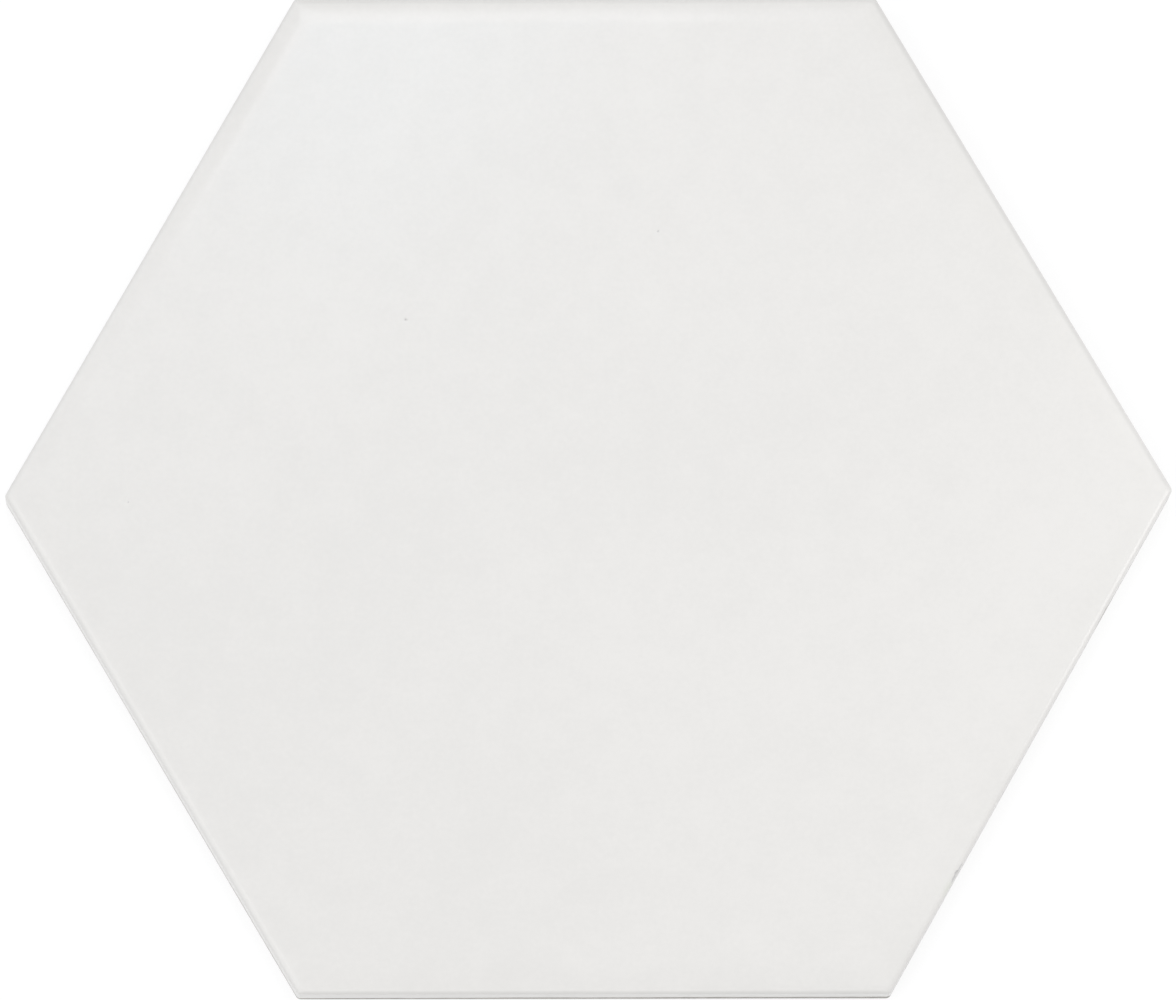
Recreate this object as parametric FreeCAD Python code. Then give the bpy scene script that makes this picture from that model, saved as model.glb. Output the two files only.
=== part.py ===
import FreeCAD, Part

import math
import os

# Hexagon floor tile, dry pressed, glazed on its face and fired in one piece. Millimetres.
# The origin is the middle of the back, +Z points out of the glazed face, and +X runs through a
# corner, so that two of the six sides lie along X.

# Body
ACROSS_FLATS = 175.0
THICKNESS = 9.0
CORNER_RADIUS = 1.0  # the six upright corners, seen from above

# Eased edge of the face: a long shallow arc that runs into a tight one at the rim
CUSHION_WIDTH = 5.0
CUSHION_DROP = 0.6  # how far the shallow arc would fall by the time it reaches the side
RIM_RADIUS = 1.5

# Side: an upright band under the rim, and below it a slope that clears the grout joint
BAND_HEIGHT = 5.5
BACK_INSET = 0.5
BACK_EDGE_RADIUS = 0.5

# Keyed back: shallow hexagonal cells with tapered walls, which the adhesive grips
CELL_PITCH = 12.4
RIB_WIDTH = 2.2
CELL_DEPTH = 0.6
CELL_DRAFT = 30.0  # degrees from upright
BACK_MARGIN = 5.0  # least width of the plain strip round the cells
PLAIN_FIELD_RADIUS = 15.0  # plain round field in the middle of the back

SIDES = 6
SECTOR = 360.0 / SIDES
HALF_SECTOR = math.radians(SECTOR / 2)
CENTRE = FreeCAD.Vector(0, 0, 0)
OUT = FreeCAD.Vector(1, 0, 0)
ALONG = FreeCAD.Vector(0, 1, 0)
UP = FreeCAD.Vector(0, 0, 1)

apothem = ACROSS_FLATS / 2
cell_mouth = CELL_PITCH - RIB_WIDTH  # across flats


def point(x, z):
    """A point of the section, which is drawn in the XZ plane with x measured from the tile's middle."""
    return FreeCAD.Vector(x, 0, z)


def mirrored(p):
    return FreeCAD.Vector(-p.x, p.y, p.z)


def back_edge_arc(foot, band_bottom):
    """Start, middle and end of the arc that rounds the corner between the back and the sloped side."""
    along_back = -OUT
    up_slope = (band_bottom - foot).normalize()
    half_angle = along_back.getAngle(up_slope) / 2
    inward = (along_back + up_slope).normalize()
    reach = BACK_EDGE_RADIUS / math.tan(half_angle)
    to_middle = BACK_EDGE_RADIUS / math.sin(half_angle) - BACK_EDGE_RADIUS
    return foot + along_back * reach, foot + inward * to_middle, foot + up_slope * reach


def edge_curve():
    """One edge of the tile's section, from the back round the side to the flat of the face, as edges."""
    cushion_radius = (CUSHION_WIDTH**2 + CUSHION_DROP**2) / (2 * CUSHION_DROP)
    cushion_end = point(apothem - CUSHION_WIDTH, THICKNESS)
    cushion_centre = cushion_end - UP * cushion_radius

    # The rim's arc lies inside the cushion's and touches it, so their centres are this far apart.
    between = cushion_radius - RIM_RADIUS
    across = CUSHION_WIDTH - RIM_RADIUS
    rim_centre = cushion_centre + point(across, math.sqrt(between**2 - across**2))
    join = cushion_centre + (rim_centre - cushion_centre).normalize() * cushion_radius
    rim_foot = rim_centre + point(RIM_RADIUS, 0)
    rim_angle = math.atan2(join.z - rim_centre.z, join.x - rim_centre.x) / 2
    rim_middle = rim_centre + point(math.cos(rim_angle), math.sin(rim_angle)) * RIM_RADIUS
    join_lean = math.asin(across / between)
    cushion_middle = cushion_centre + point(math.sin(join_lean / 2), math.cos(join_lean / 2)) * cushion_radius

    band_bottom = rim_foot - UP * BAND_HEIGHT
    arc_start, arc_middle, arc_end = back_edge_arc(point(apothem - BACK_INSET, 0), band_bottom)
    return [
        Part.Arc(arc_start, arc_middle, arc_end).toShape(),
        Part.LineSegment(arc_end, band_bottom).toShape(),
        Part.LineSegment(band_bottom, rim_foot).toShape(),
        Part.Arc(rim_foot, rim_middle, join).toShape(),
        Part.Arc(join, cushion_middle, cushion_end).toShape(),
    ]


def section():
    """The tile cut through the middle of two opposite sides, as a face in the XZ plane."""
    right = Part.Wire(edge_curve())
    left = right.mirror(CENTRE, OUT)
    back_end = right.OrderedVertexes[0].Point
    face_end = right.OrderedVertexes[-1].Point
    back = Part.LineSegment(mirrored(back_end), back_end).toShape()
    face = Part.LineSegment(face_end, mirrored(face_end)).toShape()
    return Part.Face(Part.Wire(Part.__sortEdges__([back, *right.Edges, face, *left.Edges])))


def mitred_tile():
    """What three bars of the tile's section share when they cross: a hexagon with mitred edges."""
    length = 2 * ACROSS_FLATS
    bar = section().extrude(ALONG * length).translated(ALONG * (-length / 2))
    # The bar's section faces along X, and the first side faces half a sector on from X.
    bars = [bar.rotated(CENTRE, UP, SECTOR * (n + 0.5)) for n in range(SIDES // 2)]
    return bars[0].common(bars[1]).common(bars[2])


def round_corners(tile):
    """Each sharp corner gives way to the edge's own section, turned about the corner's axis."""
    strip = Part.makePlane(CORNER_RADIUS, THICKNESS, point(apothem - CORNER_RADIUS, 0), -ALONG, OUT)
    profile = section().common(strip).translated(point(CORNER_RADIUS - apothem, 0))
    corner = profile.rotated(CENTRE, UP, -SECTOR / 2).revolve(CENTRE, UP, SECTOR)

    # The wedge that the turned corner fills, drawn on past the sharp corner's tip.
    reach = 2 * CORNER_RADIUS
    half_width = reach * math.tan(HALF_SECTOR)
    tips = [FreeCAD.Vector(reach, -half_width, 0), FreeCAD.Vector(reach, half_width, 0)]
    wedge = Part.Face(Part.makePolygon([CENTRE, *tips, CENTRE])).extrude(UP * THICKNESS)

    to_axis = OUT * ((apothem - CORNER_RADIUS) / math.cos(HALF_SECTOR))
    turns = [SECTOR * n for n in range(SIDES)]
    wedges = [wedge.translated(to_axis).rotated(CENTRE, UP, turn) for turn in turns]
    corners = [corner.translated(to_axis).rotated(CENTRE, UP, turn) for turn in turns]
    return tile.cut(wedges).fuse(corners).removeSplitter()


def circumradius(across_flats):
    return across_flats / 2 / math.cos(HALF_SECTOR)


def hexagon_corners(across_flats, z):
    """The corners of a hexagon at height z, two of them on the Y axis."""
    radius = circumradius(across_flats)
    angles = [math.radians(SECTOR * (n + 0.5)) for n in range(SIDES)]
    return [FreeCAD.Vector(radius * math.cos(a), radius * math.sin(a), z) for a in angles]


def flat_face(corners):
    return Part.Face(Part.makePolygon([*corners, corners[0]]))


def cell():
    """One cell as the solid that the die presses in, with its mouth on the back."""
    cell_floor = cell_mouth - 2 * CELL_DEPTH * math.tan(math.radians(CELL_DRAFT))
    mouth = hexagon_corners(cell_mouth, 0)
    floor = hexagon_corners(cell_floor, CELL_DEPTH)
    walls = [flat_face([mouth[n - 1], mouth[n], floor[n], floor[n - 1]]) for n in range(SIDES)]
    return Part.Solid(Part.Shell([flat_face(mouth), flat_face(floor), *walls]))


def cell_centres():
    """Centres of the cells: a honeycomb in rings, with whole cells between the plain field and strip."""
    cell_radius = circumradius(cell_mouth)
    row_step = CELL_PITCH * math.cos(HALF_SECTOR)
    room = apothem - BACK_INSET - BACK_MARGIN - cell_radius
    rings = int(room / row_step)
    centres = []
    for row in range(-rings, rings + 1):
        first = -rings + max(0, -row)
        last = rings - max(0, row)
        for column in range(first, last + 1):
            centre = FreeCAD.Vector((column + row / 2) * CELL_PITCH, row * row_step, 0)
            if centre.Length - cell_radius >= PLAIN_FIELD_RADIUS:
                centres.append(centre)
    return centres


def key_back(tile):
    """Press the cells into the back. Their walls lean outwards, so that the die lifts away."""
    one_cell = cell()
    return tile.cut([one_cell.translated(centre) for centre in cell_centres()])


tile = key_back(round_corners(mitred_tile()))
os.makedirs("parts", exist_ok=True)
tile.exportStep("parts/hexagon_tile.step")
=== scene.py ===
import math

import bpy
import numpy as np
from mathutils import Euler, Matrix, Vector, noise
from mathutils.geometry import delaunay_2d_cdt


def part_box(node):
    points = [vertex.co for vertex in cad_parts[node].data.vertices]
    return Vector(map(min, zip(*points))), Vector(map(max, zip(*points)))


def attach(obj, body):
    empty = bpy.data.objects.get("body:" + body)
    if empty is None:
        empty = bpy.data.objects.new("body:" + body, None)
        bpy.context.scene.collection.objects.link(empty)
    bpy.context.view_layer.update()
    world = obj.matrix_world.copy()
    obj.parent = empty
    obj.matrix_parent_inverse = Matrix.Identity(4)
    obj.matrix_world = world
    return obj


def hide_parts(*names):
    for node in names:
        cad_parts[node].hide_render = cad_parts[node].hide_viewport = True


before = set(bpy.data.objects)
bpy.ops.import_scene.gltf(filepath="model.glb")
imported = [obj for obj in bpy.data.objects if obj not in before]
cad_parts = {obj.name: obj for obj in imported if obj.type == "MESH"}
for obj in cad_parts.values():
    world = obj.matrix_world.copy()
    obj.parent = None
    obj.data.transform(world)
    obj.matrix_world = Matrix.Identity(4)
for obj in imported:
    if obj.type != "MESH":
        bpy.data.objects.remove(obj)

# A hexagon floor tile with a satin white glaze, lying on its back. Shapes are worked out in
# millimetres in the frame of the solid, and turned to metres when the mesh is made.
NODE = "hexagon_tile"
MM = 0.001
SIDES = 6
SECTOR = 2 * math.pi / SIDES
HALF_SECTOR = SECTOR / 2
UP = np.array((0.0, 0.0, 1.0))

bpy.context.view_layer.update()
_, highest = (Vector(corner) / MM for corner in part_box(NODE))
APOTHEM = highest.y
THICKNESS = highest.z

# Section of the edge, as in the solid
CORNER_RADIUS = 1.0
CUSHION_WIDTH = 5.0
CUSHION_DROP = 0.6
RIM_RADIUS = 1.5
BAND_HEIGHT = 5.5
BACK_INSET = 0.5
BACK_EDGE_RADIUS = 0.5

# The cushion's arc and the rim's arc touch, which settles where one turns into the other.
CUSHION_RADIUS = (CUSHION_WIDTH**2 + CUSHION_DROP**2) / (2 * CUSHION_DROP)
BETWEEN_CENTRES = CUSHION_RADIUS - RIM_RADIUS
JOIN_LEAN = math.asin((CUSHION_WIDTH - RIM_RADIUS) / BETWEEN_CENTRES)
RIM_FOOT = THICKNESS - CUSHION_RADIUS + BETWEEN_CENTRES * math.cos(JOIN_LEAN)

# Cells of the back, as in the solid
CELL_PITCH = 12.4
RIB_WIDTH = 2.2
CELL_DEPTH = 0.6
CELL_DRAFT = math.radians(30)
BACK_MARGIN = 5.0
PLAIN_FIELD_RADIUS = 15.0

# What firing does to the pressed shape. Waves are given as depth, wavelength and seed.
CORNER_SOFTENING = 0.5  # growth of the mitre's rounding for each millimetre inwards
BAND_SOFTENING = 1.0  # radius where the band turns into the slope
CELL_ROUNDING = 0.2  # radius of the cells' edges
CELL_CORNER = 0.9  # radius of the cells' corners, seen from below
# How far each corner has moved along x and y, anticlockwise from the one on +X
OUT_OF_TRUE = ((-0.05, 0.03), (0.16, 0), (0.08, 0), (0.27, -0.35), (-0.05, 0.38), (0.4, 0))
OUTLINE_WAVES = ((0.025, 34, 4), (0.025 / 3, 7, 5))
RIM_WAVE = (0.10, 11, 6)  # its depth is for each millimetre inwards, as far as the rim's radius
FACE_WAVES = ((0.05, 130, 1), (0.012, 24, 2), (0.002, 5, 3))
FULL_WAVES_INSET = RIM_RADIUS / 2  # from here inwards the waves of rim and face are whole
SEED_STEP = (7.3, 3.1, 11.7)  # how far apart two seeds read the noise

# The glaze runs over the rim and stops on the side, at this height on average. The bare body below it is
# darker, partly in its own colour and partly as painted shade along the foot of the side.
GLAZE_LINE = 3.6
GLAZE_LINE_TILT = 0.011  # rise for each millimetre along x
GLAZE_LINE_WAVE = 0.6

# Pinholes in the glaze, as x, y and radius. Their depth and reach are in radii.
PINHOLES = ((-31.5, 30.3, 0.22), (12.3, 45.7, 0.17), (-79.6, -1.4, 0.13))
PINHOLE_DEPTH = 0.9
PINHOLE_STEEPNESS = 1.6
PINHOLE_BARE = 1.5  # how far out the glaze is thin

# A small chip out of the rim of the side that faces the lower right, in three flakes. Each is
# given by its place along the side from the chip's middle, half length, half width and depth.
CHIP_SIDE = 5
CHIP_ALONG = -26.7
CHIP_LEAN = math.radians(60)  # of the rim's surface there, from level
FLAKES = ((0.0, 0.55, 0.45, 0.36), (-0.9, 1.0, 0.32, 0.10), (1.2, 0.9, 0.24, 0.06))
FLAKE_RAGGEDNESS = (0.45, 0.5, 7)  # of their outlines, as share, wavelength and seed
FLAKE_SHARPNESS = 4  # how soon the glaze ends inside a flake's outline
STAIN_ALONG = -2.9  # from the chip's middle
STAIN_HALF_LENGTH = 1.5
STAIN_HALF_WIDTH = 0.75

# A strip along the foot of the same side's rim that the glaze left bare, darker also as painted shade along
# that outline
MISS_AND_SHADE_ALONG = 26.0
MISS_AND_SHADE_HALF_LENGTH = 4.0
MISS_AND_SHADE_HEIGHT = 7.1
MISS_AND_SHADE_HALF_HEIGHT = 0.6
MISS_AND_SHADE_SHARPNESS = 2
MISS_AND_SHADE_RAGGEDNESS = (0.8, 8)  # wavelength and seed

# Density of the mesh
SIDE_STEPS = 112
CORNER_STEPS = 8
CUSHION_STEPS = 8
RIM_STEPS = 16
EDGE_STEPS = 4  # of the roundings below the band
CELL_STEPS = 2  # of the cells' edges
CELL_CORNER_STEPS = 3
FACE_SPACING = 1.35
EDGE_GAP = 0.6  # least gap from the eased edge to the lattice, in spacings
PINHOLE_GAP = 0.4  # the same from a pinhole's outermost ring
CHIP_STATIONS = np.arange(-5.5, 3.5, 0.11)  # closer steps along the side, from the chip's middle
MISS_AND_SHADE_STATIONS = np.arange(-5.4, 5.5, 0.3)  # the same from the middle of the strip that is bare of glaze and painted with shade
BAND_STEP = 0.4
MERGE_DISTANCE = 1e-6
PINHOLE_RINGS = (0.35, 0.7, 1.0, 1.4, 2.2)  # in radii
PINHOLE_STEPS = 12


def noise_at(points, wavelength, seed):
    """Smooth noise from -1 to 1 at each point, where points are rows of x, y, z."""
    shift = Vector([seed * step for step in SEED_STEP])
    return np.array([noise.noise(Vector(p) / wavelength + shift) for p in points])


class MeshParts:
    """Gathers rings and sheets of vertices, and the faces between them, for one mesh."""

    def __init__(self):
        self.vertices = []
        self.faces = []

    def add(self, points):
        """Adds points and returns their numbers."""
        start = len(self.vertices)
        self.vertices.extend(points)
        return np.arange(start, start + len(points))

    def band(self, inner, outer):
        """Quads between two rings of the same count."""
        after = np.roll(np.arange(len(inner)), -1)
        for i, j in enumerate(after):
            self.faces.append((inner[i], outer[i], outer[j], inner[j]))

    def disc(self, ring):
        self.faces.append(tuple(ring))


def side_directions(side, turn=0.0):
    """Directions out of a side and along it, anticlockwise seen from above."""
    angle = HALF_SECTOR + side * SECTOR + turn
    return np.array((math.cos(angle), math.sin(angle), 0)), np.array((-math.sin(angle), math.cos(angle), 0))


class Contour:
    """A hexagon outline with rounded corners, sampled at the same stations whatever its size."""

    def __init__(self, fractions, corner_steps, turn=0.0):
        anchors, outward = [], []
        reach = math.tan(HALF_SECTOR)
        for side in range(SIDES):
            normal, along = side_directions(side, turn)
            for fraction in fractions[side]:
                anchors.append(normal + along * fraction * reach)
                outward.append(normal)
            for step in range(1, corner_steps):
                angle = SECTOR * step / corner_steps
                anchors.append(normal + along * reach)
                outward.append(normal * math.cos(angle) + along * math.sin(angle))
        self.anchors = np.array(anchors)
        self.outward = np.array(outward)

    def ring(self, apothem, corner_radius, height):
        return self.anchors * (apothem - corner_radius) + self.outward * corner_radius + UP * height


def rounded(corners, radii, steps):
    """A run of section points with each inner corner turned into an arc."""
    points = [np.array(corners[0], float)]
    for before, corner, after, radius in zip(corners, corners[1:], corners[2:], radii):
        before, corner, after = (np.array(p, float) for p in (before, corner, after))
        back = (before - corner) / np.linalg.norm(before - corner)
        on = (after - corner) / np.linalg.norm(after - corner)
        half = math.acos(back @ on) / 2
        centre = corner + (back + on) / np.linalg.norm(back + on) * radius / math.sin(half)
        start = corner + back * radius / math.tan(half) - centre
        end = corner + on * radius / math.tan(half) - centre
        for t in np.linspace(0, 1, steps + 1):
            arm = start * (1 - t) + end * t
            points.append(centre + arm / np.linalg.norm(arm) * radius)
    points.append(np.array(corners[-1], float))
    return points


def face_rows():
    """Section of the eased edge as rows of inset and height, from the flat of the face to the side."""
    rows = []
    for lean in np.linspace(0, JOIN_LEAN, CUSHION_STEPS + 1)[:-1]:
        height = THICKNESS - CUSHION_RADIUS * (1 - math.cos(lean))
        rows.append((CUSHION_WIDTH - CUSHION_RADIUS * math.sin(lean), height))
    for lean in np.linspace(JOIN_LEAN, math.pi / 2, RIM_STEPS + 1):
        rows.append((RIM_RADIUS * (1 - math.sin(lean)), RIM_FOOT + RIM_RADIUS * math.cos(lean)))
    return rows


def side_rows():
    """Section of the side and the back's edge, from the foot of the rim to the plain strip."""
    band_foot = RIM_FOOT - BAND_HEIGHT
    corners = [(0, RIM_FOOT), (0, band_foot), (BACK_INSET, 0), (BACK_INSET + BACK_MARGIN / 2, 0)]
    band = [(0, height) for height in np.arange(RIM_FOOT - BAND_STEP, band_foot + BAND_STEP, -BAND_STEP)]
    return band + rounded(corners, (BAND_SOFTENING, BACK_EDGE_RADIUS), EDGE_STEPS)[1:]


def side_stations():
    """Where the outline is sampled along each side: evenly, and closely at the chip and at the strip that
    is bare of glaze and painted with shade.
    """
    even = np.linspace(-1, 1, SIDE_STEPS + 1)
    stations = [even] * SIDES
    marked = even
    for near in (CHIP_ALONG + CHIP_STATIONS, MISS_AND_SHADE_ALONG + MISS_AND_SHADE_STATIONS):
        near = near / (APOTHEM * math.tan(HALF_SECTOR))
        marked = np.concatenate([marked[marked < near[0]], near, marked[marked > near[-1]]])
    stations[CHIP_SIDE] = marked
    return stations


def shrinkage(points, waves):
    """The waves' sum at each point. It is never over 0, so that nothing grows past the pressed shape."""
    return sum(depth * (noise_at(points, wavelength, seed) - 1) for depth, wavelength, seed in waves)


def swell(points):
    """How far the glazed face lies from the level plane, which it stays under."""
    level = np.array(points)
    level[:, 2] = 0
    return shrinkage(level, FACE_WAVES)


def fired(points, outward, inset, on_face):
    """Moves a ring to where it lies after firing, with the waves of rim and face in the share on_face."""
    depth, wavelength, seed = RIM_WAVE
    wave = depth * min(inset, RIM_RADIUS) * noise_at(points, wavelength, seed)
    moved = points + outward * (shrinkage(points, OUTLINE_WAVES) + wave * on_face)[:, None]
    moved[:, 2] += swell(points) * on_face
    return moved


def out_of_true(points):
    """Moves points with the corners of the sector that they lie in, so that sides stay straight."""
    moves = np.array(OUT_OF_TRUE)
    angle = np.arctan2(points[:, 1], points[:, 0]) % (2 * math.pi)
    sector = (angle // SECTOR).astype(int) % SIDES
    within = angle - sector * SECTOR
    radius = np.hypot(points[:, 0], points[:, 1]) / (APOTHEM / math.cos(HALF_SECTOR))
    to_next = radius * np.sin(within) / math.sin(SECTOR)
    to_first = radius * np.cos(within) - to_next * math.cos(SECTOR)
    moved = points.copy()
    moved[:, :2] += to_first[:, None] * moves[sector] + to_next[:, None] * moves[(sector + 1) % SIDES]
    return moved


def out_of_rim():
    """Direction out of the rim's surface at the chip."""
    normal, _ = side_directions(CHIP_SIDE)
    return normal * math.sin(CHIP_LEAN) + UP * math.cos(CHIP_LEAN)


def at_chip(points):
    """How far each point lies from the chip's middle, along the side and across the rim's surface."""
    normal, along = side_directions(CHIP_SIDE)
    across = normal * math.cos(CHIP_LEAN) - UP * math.sin(CHIP_LEAN)
    rim_centre = normal * (APOTHEM - RIM_RADIUS) + UP * RIM_FOOT
    offset = np.array(points) - rim_centre - along * CHIP_ALONG - out_of_rim() * RIM_RADIUS
    return offset @ along, offset @ across


def flake_shares(points):
    """For each flake, how far inside its ragged outline each point lies, from 1 at its middle to 0."""
    along_side, across_rim = at_chip(points)
    flat = np.column_stack([along_side, across_rim, np.zeros(len(along_side))])
    share, wavelength, seed = FLAKE_RAGGEDNESS
    ragged = 1 + share * noise_at(flat, wavelength, seed)
    shares = []
    for place, half_length, half_width, _ in FLAKES:
        reach = ((along_side - place) / half_length) ** 2 + (across_rim / half_width) ** 2
        shares.append(np.clip(1 - reach * ragged, 0, 1))
    return shares


def chipped(points):
    """The ring's points, with those in the chip pushed in to the floors of its flakes."""
    depth = np.zeros(len(points))
    for (*_, deepest), share in zip(FLAKES, flake_shares(points)):
        depth = np.maximum(depth, deepest * np.sqrt(share))
    return points - out_of_rim() * depth[:, None]


def lattice(reach, spacing):
    """Points of a triangular lattice inside a hexagon of that apothem, which has corners on X."""
    row_step = spacing * math.cos(HALF_SECTOR)
    rows = int(reach / row_step)
    points = []
    for row in range(-rows, rows + 1):
        y = row * row_step
        half_width = reach / math.cos(HALF_SECTOR) - abs(y) * math.tan(HALF_SECTOR)
        shift = spacing / 2 if row % 2 else 0.0
        columns = int(half_width / spacing) + 1
        for column in range(-columns, columns + 1):
            x = column * spacing + shift
            if abs(x) <= half_width:
                points.append((x, y))
    return np.array(points)


def triangles(flat, loops):
    """Delaunay triangles of flat points inside the loops of numbers, which stay as edges."""
    edges = [(int(a), int(b)) for loop in loops for a, b in zip(loop, np.roll(loop, -1))]
    points = [Vector(p) for p in flat]
    inside_only = 1
    _, _, faces, sources, *_ = delaunay_2d_cdt(points, edges, [], inside_only, MERGE_DISTANCE)
    return [tuple(sources[v][0] for v in face) for face in faces]


def pinhole_points():
    """Rings of points round each pinhole in the glaze."""
    points = []
    for x, y, radius in PINHOLES:
        points.append((x, y))
        for share in PINHOLE_RINGS:
            for angle in np.linspace(0, 2 * math.pi, PINHOLE_STEPS, endpoint=False):
                points.append((x + radius * share * math.cos(angle), y + radius * share * math.sin(angle)))
    return np.array(points)


def pinhole_depth(flat):
    depth = np.zeros(len(flat))
    for x, y, radius in PINHOLES:
        distance = np.hypot(flat[:, 0] - x, flat[:, 1] - y) / radius
        depth += radius * PINHOLE_DEPTH * np.exp(-(distance**2) * PINHOLE_STEEPNESS)
    return depth


def fill_face(parts, ring):
    """The glazed face inside its eased edge."""
    outline = np.array([parts.vertices[i] for i in ring])
    spread = lattice(APOTHEM - CUSHION_WIDTH - FACE_SPACING * EDGE_GAP, FACE_SPACING)
    for x, y, radius in PINHOLES:
        room = radius * PINHOLE_RINGS[-1] + FACE_SPACING * PINHOLE_GAP
        spread = spread[np.hypot(spread[:, 0] - x, spread[:, 1] - y) > room]
    inside = np.concatenate([spread, pinhole_points()])
    points = np.column_stack([inside, np.full(len(inside), THICKNESS)])
    points[:, 2] += swell(points) - pinhole_depth(inside)
    numbers = np.concatenate([ring, parts.add(points)])
    flat = np.concatenate([outline[:, :2], inside])
    for triangle in triangles(flat, [np.arange(len(ring))]):
        parts.faces.append(tuple(numbers[v] for v in triangle))


def cell_centres():
    """Centres of the cells: a honeycomb in rings, with whole cells between the plain field and strip."""
    cell_radius = (CELL_PITCH - RIB_WIDTH) / 2 / math.cos(HALF_SECTOR)
    row_step = CELL_PITCH * math.cos(HALF_SECTOR)
    rings = int((APOTHEM - BACK_INSET - BACK_MARGIN - cell_radius) / row_step)
    centres = []
    for row in range(-rings, rings + 1):
        for column in range(-rings + max(0, -row), rings - max(0, row) + 1):
            centre = np.array(((column + row / 2) * CELL_PITCH, row * row_step, 0))
            if np.linalg.norm(centre) - cell_radius >= PLAIN_FIELD_RADIUS:
                centres.append(centre)
    return centres


def cell_rings():
    """Rings of one cell at the origin, from its mouth on the back to its floor."""
    slant = CELL_DEPTH * math.tan(CELL_DRAFT)
    corners = [(-slant, 0), (0, 0), (slant, CELL_DEPTH), (2 * slant, CELL_DEPTH)]
    section = rounded(corners, (CELL_ROUNDING, CELL_ROUNDING), CELL_STEPS)[1:-1]
    contour = Contour([(-1, 1)] * SIDES, CELL_CORNER_STEPS, turn=HALF_SECTOR)
    mouth_apothem = (CELL_PITCH - RIB_WIDTH) / 2
    return [contour.ring(mouth_apothem - inset, CELL_CORNER, height) for inset, height in section]


def fill_back(parts, ring):
    """The back: ribs, plain strip and field in one plane, with the cells pressed into it."""
    shape = cell_rings()
    mouths = []
    for centre in cell_centres():
        rings = [parts.add(row + centre) for row in shape]
        for outer, inner in zip(rings, rings[1:]):
            parts.band(outer, inner)
        parts.disc(rings[-1][::-1])
        mouths.append(rings[0])

    numbers = np.concatenate([ring, *mouths])
    flat = np.array([parts.vertices[i] for i in numbers])[:, :2]
    owner = np.concatenate([np.full(len(ring), -1), np.repeat(np.arange(len(mouths)), len(mouths[0]))])
    starts = np.cumsum([0, len(ring), *[len(m) for m in mouths]])
    loops = [np.arange(a, b) for a, b in zip(starts, starts[1:])]
    for triangle in triangles(flat, loops):
        cell = owner[triangle[0]]
        inside_mouth = cell >= 0 and all(owner[v] == cell for v in triangle)
        if not inside_mouth:
            parts.faces.append(tuple(numbers[v] for v in reversed(triangle)))


def add_marks(mesh, points):
    """Stores where the glaze is broken, in the chip and pinholes, where it is stained, and where the glaze
    left a strip bare, which is darker also as painted shade.
    """
    along_side, across_rim = at_chip(points)
    on_side = points @ side_directions(CHIP_SIDE)[0] > APOTHEM - CUSHION_WIDTH
    over_rim_foot = points[:, 2] > RIM_FOOT
    bare = np.max([np.clip(share * FLAKE_SHARPNESS, 0, 1) for share in flake_shares(points)], axis=0)
    bare *= on_side & over_rim_foot
    for x, y, radius in PINHOLES:
        distance = np.hypot(points[:, 0] - x, points[:, 1] - y) / radius
        bare = np.maximum(bare, np.clip(PINHOLE_BARE - distance, 0, 1) * over_rim_foot)
    stain = ((along_side - STAIN_ALONG) / STAIN_HALF_LENGTH) ** 2 + (across_rim / STAIN_HALF_WIDTH) ** 2
    stain = np.exp(-stain) * on_side
    missed_glaze_and_shade = ((along_side + CHIP_ALONG - MISS_AND_SHADE_ALONG) / MISS_AND_SHADE_HALF_LENGTH) ** 2
    missed_glaze_and_shade += ((points[:, 2] - MISS_AND_SHADE_HEIGHT) / MISS_AND_SHADE_HALF_HEIGHT) ** 2
    missed_glaze_and_shade = MISS_AND_SHADE_SHARPNESS * (1 - missed_glaze_and_shade) + noise_at(points, *MISS_AND_SHADE_RAGGEDNESS)
    missed_glaze_and_shade = np.clip(missed_glaze_and_shade, 0, 1) * on_side
    for name, values in (("bare", bare), ("stain", stain), ("missed_glaze_and_shade", missed_glaze_and_shade)):
        mesh.attributes.new(name, "FLOAT", "POINT").data.foreach_set("value", values.astype(np.float32))


def tile_mesh():
    """Rings from the flat of the face down the side to the back, and what fills the two ends."""
    parts = MeshParts()
    contour = Contour(side_stations(), CORNER_STEPS)
    rings = []
    for inset, height in face_rows():
        ring = contour.ring(APOTHEM - inset, CORNER_RADIUS + CORNER_SOFTENING * inset, height)
        on_face = min(1.0, inset / FULL_WAVES_INSET)
        rings.append(parts.add(chipped(fired(ring, contour.outward, inset, on_face))))
    for inset, height in side_rows():
        ring = contour.ring(APOTHEM - inset, CORNER_RADIUS, height)
        rings.append(parts.add(fired(ring, contour.outward, 0, 0.0)))
    for upper, lower in zip(rings, rings[1:]):
        parts.band(upper, lower)
    fill_face(parts, rings[0])
    fill_back(parts, rings[-1])
    points = np.array(parts.vertices)
    mesh = bpy.data.meshes.new("hexagon_tile_fired")
    faces = [tuple(map(int, face)) for face in parts.faces]
    mesh.from_pydata((out_of_true(points) * MM).tolist(), [], faces)
    add_marks(mesh, points)
    mesh.shade_smooth()
    return mesh


def new_object(name, data):
    made = bpy.data.objects.new(name, data)
    bpy.context.scene.collection.objects.link(made)
    return made


# Sockets of the Mix node for its two values and its result
MIX_SOCKETS = {"FLOAT": (2, 3, 0), "RGBA": (6, 7, 2)}


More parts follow.
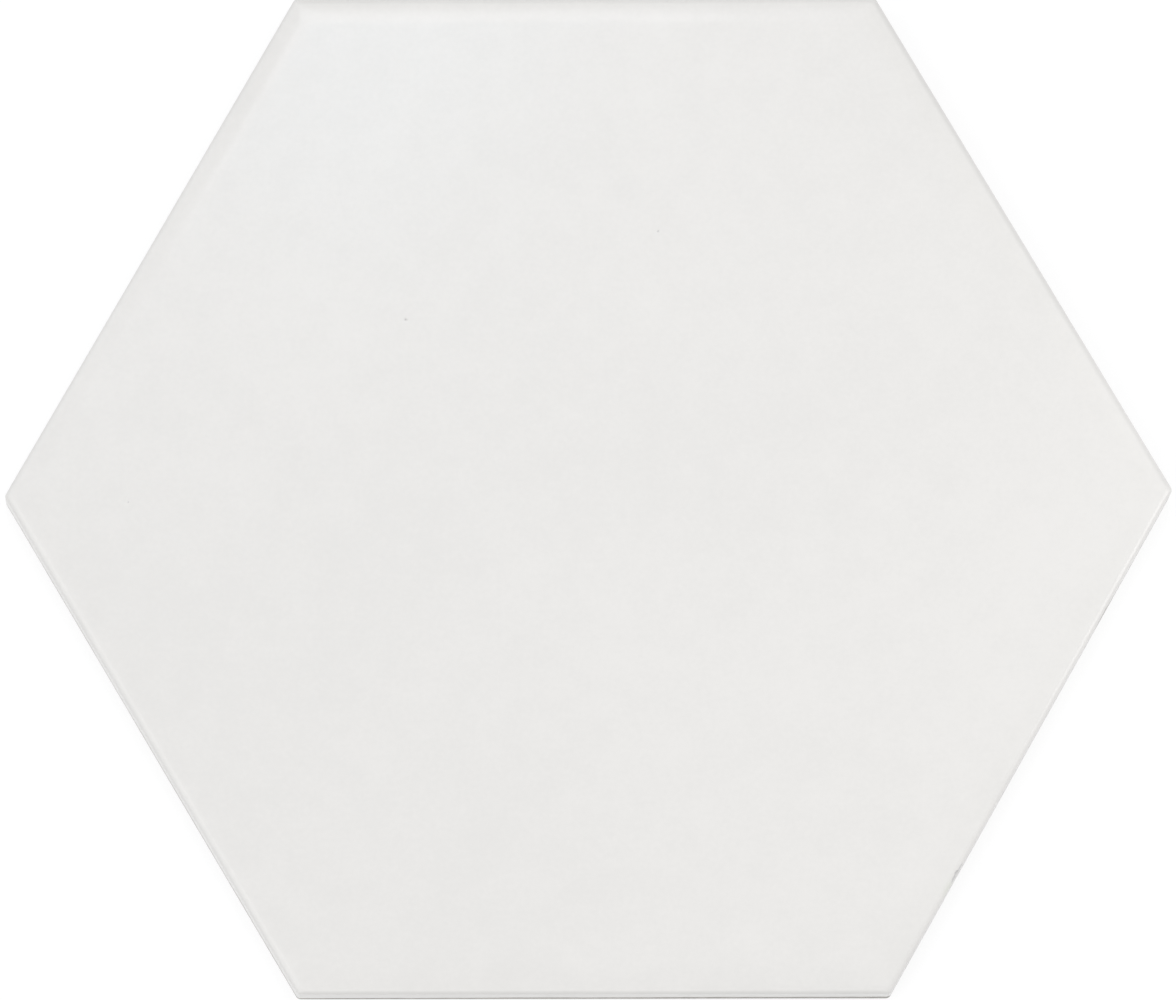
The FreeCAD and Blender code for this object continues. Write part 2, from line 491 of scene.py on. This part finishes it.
class Nodes:
    """A node tree with short ways to add nodes and wire their inputs."""

    def __init__(self, tree):
        self.tree = tree
        tree.nodes.clear()

    def add(self, kind, inputs=(), **settings):
        made = self.tree.nodes.new(kind)
        for key, value in settings.items():
            setattr(made, key, value)
        for key, value in dict(inputs).items():
            if isinstance(value, bpy.types.NodeSocket):
                self.tree.links.new(value, made.inputs[key])
            else:
                made.inputs[key].default_value = value
        return made

    def math(self, operation, *values):
        return self.add("ShaderNodeMath", dict(enumerate(values)), operation=operation).outputs[0]

    def noise(self, place, wavelength, detail=2.0, roughness=0.5):
        """Noise about 0.5, with a wavelength in the units of place."""
        inputs = {"Vector": place, "Scale": 1 / wavelength, "Detail": detail, "Roughness": roughness}
        return self.add("ShaderNodeTexNoise", inputs).outputs["Fac"]

    def ramp(self, value, reach, to=(0.0, 1.0)):
        """Maps the reach of a value smoothly to the new one, and holds the ends."""
        inputs = {"Value": value, "From Min": reach[0], "From Max": reach[1]}
        inputs |= {"To Min": to[0], "To Max": to[1]}
        made = self.add("ShaderNodeMapRange", inputs, interpolation_type="SMOOTHSTEP")
        return made.outputs["Result"]

    def blend(self, share, a, b, kind="RGBA"):
        """A colour between a and b, or a number where the kind is FLOAT."""
        first, second, result = MIX_SOCKETS[kind]
        return self.add("ShaderNodeMix", {0: share, first: a, second: b}, data_type=kind).outputs[result]

    def attribute(self, name):
        return self.add("ShaderNodeAttribute", attribute_name=name).outputs["Fac"]


# Colours of the tile, linear
GLAZE_LIGHT = (0.833, 0.819, 0.794, 1)
GLAZE_DARK = (0.797, 0.785, 0.761, 1)
STAIN_COLOUR = (0.79, 0.80, 0.74, 1)
# Bare body, dark partly in its own colour and partly as painted shade where it shows on the foot of the
# side
BODY_LIGHT = (0.55, 0.53, 0.50, 1)
BODY_DARK = (0.44, 0.425, 0.40, 1)
BODY_SPECK = (0.30, 0.27, 0.23, 1)
BROKEN = (0.69, 0.685, 0.675, 1)
KILN_WASH = (0.78, 0.775, 0.76, 1)

# Mottling of the glaze as noises that are added up, each as share, length, detail and roughness
MOTTLING = (
    (0.3, 55, 1.0, 0.5),  # clouds
    (0.45, 8, 3.0, 0.8),  # blotches
    (0.25, 0.9, 1.0, 0.5),  # grain
)

# Other textures. Lengths are in millimetres, and a reach is where a blend starts and where it ends.
NOISE_REACH = (0.3, 0.7)  # where almost all of a noise lies
CLAY_LENGTH = 2.5
SPECKS_PER_MM = 0.9
SPECK_REACH = (0.14, 0.08)
WASH_LENGTH = 7
WASH_REACH = (0.42, 0.56)
RIB_REACH = (0.12, 0.02)  # heights. Only what stands on the kiln's shelf takes up wash.
GLAZE_LINE_LENGTH = 9
GLAZE_LINE_REACH = (-0.08, 0.08)  # heights from the line
GLAZE_ROUGHNESS = (0.29, 0.34)
GLAZE_ROUGHNESS_LENGTH = 3.0
BODY_ROUGHNESS = (0.7, 0.9)
BODY_ROUGHNESS_LENGTH = 0.8
PEEL_LENGTH = 1.3
PEEL_DEPTH = 0.006
GRIT_LENGTH = 0.35
GRIT_DEPTH = 0.05
GLAZE_IOR = 1.5
SKIN_SHARE = 0.3
SKIN_ROUGHNESS = 0.11


def glaze_colour(nodes, place):
    """Off white, with soft clouds, faint darker blotches and a fine grain."""
    mixed = 0.0
    for share, *texture in MOTTLING:
        mixed = nodes.math("MULTIPLY_ADD", nodes.noise(place, *texture), share, mixed)
    return nodes.blend(nodes.ramp(mixed, NOISE_REACH), GLAZE_DARK, GLAZE_LIGHT)


def body_colour(nodes, place, height):
    """Bare stoneware with fine specks, and a patchy white kiln wash on the ribs of the back."""
    clay = nodes.blend(nodes.ramp(nodes.noise(place, CLAY_LENGTH), NOISE_REACH), BODY_DARK, BODY_LIGHT)
    specks = nodes.add("ShaderNodeTexVoronoi", {"Vector": place, "Scale": SPECKS_PER_MM})
    specked = nodes.blend(nodes.ramp(specks.outputs["Distance"], SPECK_REACH), clay, BODY_SPECK)
    patches = nodes.ramp(nodes.noise(place, WASH_LENGTH, roughness=0.65), WASH_REACH)
    on_ribs = nodes.ramp(height, RIB_REACH)
    return nodes.blend(nodes.math("MULTIPLY", patches, on_ribs), specked, KILN_WASH)


def tile_material():
    """Satin glaze over the face and rim, with the fired body bare below it and behind."""
    material = bpy.data.materials.new("satin_glaze_on_stoneware")
    material.use_nodes = True
    nodes = Nodes(material.node_tree)
    coordinates = nodes.add("ShaderNodeTexCoord").outputs["Object"]
    place = nodes.add("ShaderNodeVectorMath", {0: coordinates, "Scale": 1 / MM}, operation="SCALE")
    place = place.outputs[0]
    axes = nodes.add("ShaderNodeSeparateXYZ", {0: place}).outputs
    height = axes["Z"]
    bare = nodes.attribute("bare")

    level = nodes.math("MULTIPLY_ADD", axes["X"], GLAZE_LINE_TILT, GLAZE_LINE - GLAZE_LINE_WAVE)
    line = nodes.math("MULTIPLY_ADD", nodes.noise(place, GLAZE_LINE_LENGTH), 2 * GLAZE_LINE_WAVE, level)
    glazed = nodes.ramp(nodes.math("SUBTRACT", height, line), GLAZE_LINE_REACH)
    # The strip the glaze left bare shows the body there, darker also as painted shade along the side's
    # outline.
    glazed = nodes.math("MULTIPLY", glazed, nodes.math("SUBTRACT", 1.0, nodes.attribute("missed_glaze_and_shade")))

    glaze = nodes.blend(nodes.attribute("stain"), glaze_colour(nodes, place), STAIN_COLOUR)
    colour = nodes.blend(glazed, body_colour(nodes, place, height), glaze)
    colour = nodes.blend(bare, colour, BROKEN)
    glazed = nodes.math("MULTIPLY", glazed, nodes.math("SUBTRACT", 1.0, bare))

    gloss = nodes.noise(place, GLAZE_ROUGHNESS_LENGTH, detail=1.0)
    gloss = nodes.ramp(gloss, NOISE_REACH, GLAZE_ROUGHNESS)
    dull = nodes.noise(place, BODY_ROUGHNESS_LENGTH, detail=0.0)
    dull = nodes.ramp(dull, NOISE_REACH, BODY_ROUGHNESS)
    roughness = nodes.blend(glazed, dull, gloss, "FLOAT")

    peel = {"Height": nodes.noise(place, PEEL_LENGTH, detail=1.0), "Distance": PEEL_DEPTH * MM}
    peel = nodes.add("ShaderNodeBump", {**peel, "Strength": 1.0}).outputs[0]
    grit = {"Height": nodes.noise(place, GRIT_LENGTH, detail=1.0), "Distance": GRIT_DEPTH * MM}
    off_glaze = nodes.math("SUBTRACT", 1.0, glazed)
    bump = nodes.add("ShaderNodeBump", {**grit, "Strength": off_glaze, "Normal": peel}).outputs[0]

    # The glaze's skin is smoother than what lies under it, so it mirrors the lamps faintly.
    skin = nodes.math("MULTIPLY", glazed, SKIN_SHARE)
    shader = {"Base Color": colour, "Roughness": roughness, "Normal": bump, "IOR": GLAZE_IOR}
    shader |= {"Coat Weight": skin, "Coat Roughness": SKIN_ROUGHNESS, "Coat Normal": peel}
    surface = nodes.add("ShaderNodeBsdfPrincipled", shader).outputs[0]
    nodes.add("ShaderNodeOutputMaterial", {"Surface": surface})
    return material


def seen_directly(nodes):
    """1 on rays from the camera or through a reflection or glass, which show the white background."""
    path = nodes.add("ShaderNodeLightPath").outputs
    mirrored = nodes.math("MAXIMUM", path["Is Glossy Ray"], path["Is Transmission Ray"])
    return nodes.math("MAXIMUM", path["Is Camera Ray"], mirrored)


# The floor, and the fill that the world gives
FLOOR_HALF = 6.0  # metres
FLOOR_LIT = (0.55, 0.55, 0.55, 1)  # as it lights the tile
FLOOR_SHADED = (0.25, 0.25, 0.25, 1)  # what shows of the light and shade on it
FLOOR_WHITE = 0.80
WHITE = (1, 1, 1, 1)
FILL_COLOUR = (0.98, 0.985, 1, 1)
FILL_STRENGTH = 0.579


def floor_material():
    """A pale floor that is seen as white, and a little darker where the tile shades it."""
    material = bpy.data.materials.new("pale_floor")
    material.use_nodes = True
    nodes = Nodes(material.node_tree)
    lit = nodes.add("ShaderNodeBsdfDiffuse", {"Color": FLOOR_LIT})
    shaded = nodes.add("ShaderNodeBsdfDiffuse", {"Color": FLOOR_SHADED})
    white = nodes.add("ShaderNodeEmission", {"Color": WHITE, "Strength": FLOOR_WHITE})
    shown = nodes.add("ShaderNodeAddShader", {0: shaded.outputs[0], 1: white.outputs[0]})
    shaders = {1: lit.outputs[0], 2: shown.outputs[0]}
    mixed = nodes.add("ShaderNodeMixShader", {0: seen_directly(nodes), **shaders})
    nodes.add("ShaderNodeOutputMaterial", {"Surface": mixed.outputs[0]})
    # The white only shows, directly or mirrored, so it isn't sampled as a lamp.
    material.cycles.emission_sampling = "NONE"
    return material


def add_floor():
    corners = [(x * FLOOR_HALF, y * FLOOR_HALF, 0) for x, y in ((-1, -1), (1, -1), (1, 1), (-1, 1))]
    mesh = bpy.data.meshes.new("floor")
    mesh.from_pydata(corners, [], [(0, 1, 2, 3)])
    floor = new_object("floor", mesh)
    mesh.materials.append(floor_material())


# Colours of the lamps
SKY = (0.45, 0.75, 1.0)
COOL = (0.92, 0.95, 1.0)
WARM = (1.0, 0.93, 0.84)
NEUTRAL = (1.0, 1.0, 1.0)

# Lamps, all aimed at the tile, as place, width, depth, turn in degrees, watts and colour
LAMPS = {
    "softbox": ((0.357, 0.654, 1.5), 1.0, 1.0, 45, 1.5, WARM),
    "window": ((-0.04, 0.455, 1.5), 0.14, 0.14, 45, 0.19, SKY),
    "top": ((-0.1, 0.62, 1.5), 0.38, 0.3, 0, 1.15, COOL),
    "strip": ((0.02, 0.74, 1.5), 0.7, 0.2, 0, 0.3, COOL),
    "right": ((0.8, 0.25, 1.0), 0.8, 0.8, 0, 1.38, NEUTRAL),
    "right_low": ((0.33, -0.05, 0.12), 0.14, 0.14, 0, 0.16, NEUTRAL),
    "left": ((-0.8, 0.0, 1.0), 0.8, 0.8, 0, 1.0, NEUTRAL),
    "left_front": ((-0.6, -0.6, 0.65), 1.2, 1.2, 0, 2.76, NEUTRAL),
    "left_rear": ((-0.7, 0.6, 0.55), 0.9, 0.9, 0, 1.4, COOL),
    "front": ((0.0, -1.0, 0.6), 0.5, 0.5, 0, 0.72, NEUTRAL),
}


def add_lamp(name, place, width, depth, turn, power, colour):
    """A flat soft light, aimed at the tile and turned about its aim."""
    data = bpy.data.lights.new(name, "AREA")
    data.shape = "RECTANGLE"
    data.size = width
    data.size_y = depth
    data.energy = power
    data.color = colour
    lamp = new_object(name, data)
    lamp.location = place
    lamp.rotation_euler = (-Vector(place)).to_track_quat("-Z", "Y").to_euler()
    lamp.rotation_euler.rotate_axis("Z", math.radians(turn))
    lamp.visible_camera = False


def add_light():
    world = bpy.data.worlds.new("studio")
    bpy.context.scene.world = world
    world.use_nodes = True
    nodes = Nodes(world.node_tree)
    fill = nodes.add("ShaderNodeBackground", {"Color": FILL_COLOUR, "Strength": FILL_STRENGTH})
    white = nodes.add("ShaderNodeBackground", {"Color": WHITE, "Strength": 1.0})
    shaders = {1: fill.outputs[0], 2: white.outputs[0]}
    mixed = nodes.add("ShaderNodeMixShader", {0: seen_directly(nodes), **shaders})
    nodes.add("ShaderNodeOutputWorld", {"Surface": mixed.outputs[0]})
    # The fill is even, so it isn't sampled as a lamp either.
    world.cycles.sampling_method = "NONE"
    for name, settings in LAMPS.items():
        add_lamp(name, *settings)


# The camera looks almost straight down, from far off with a long lens, as the tile was photographed.
CAMERA_PLACE = (-0.05, -0.31225, 1.7035)
CAMERA_TURN = (10.398, -1.590, -0.509)  # degrees
SENSOR_WIDTH = 36.0
LENS = 306.1
CLIP_END = 50.0


def add_camera():
    data = bpy.data.cameras.new("camera")
    data.sensor_width = SENSOR_WIDTH
    data.lens = LENS
    data.clip_end = CLIP_END
    camera = new_object("camera", data)
    camera.location = CAMERA_PLACE
    camera.rotation_euler = Euler(map(math.radians, CAMERA_TURN))
    bpy.context.scene.camera = camera


tile = new_object("tile_body_and_glaze", tile_mesh())
tile.data.materials.append(tile_material())
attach(tile, "root")
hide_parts(NODE)

add_floor()
add_light()
add_camera()
bpy.context.scene.view_settings.view_transform = "Standard"
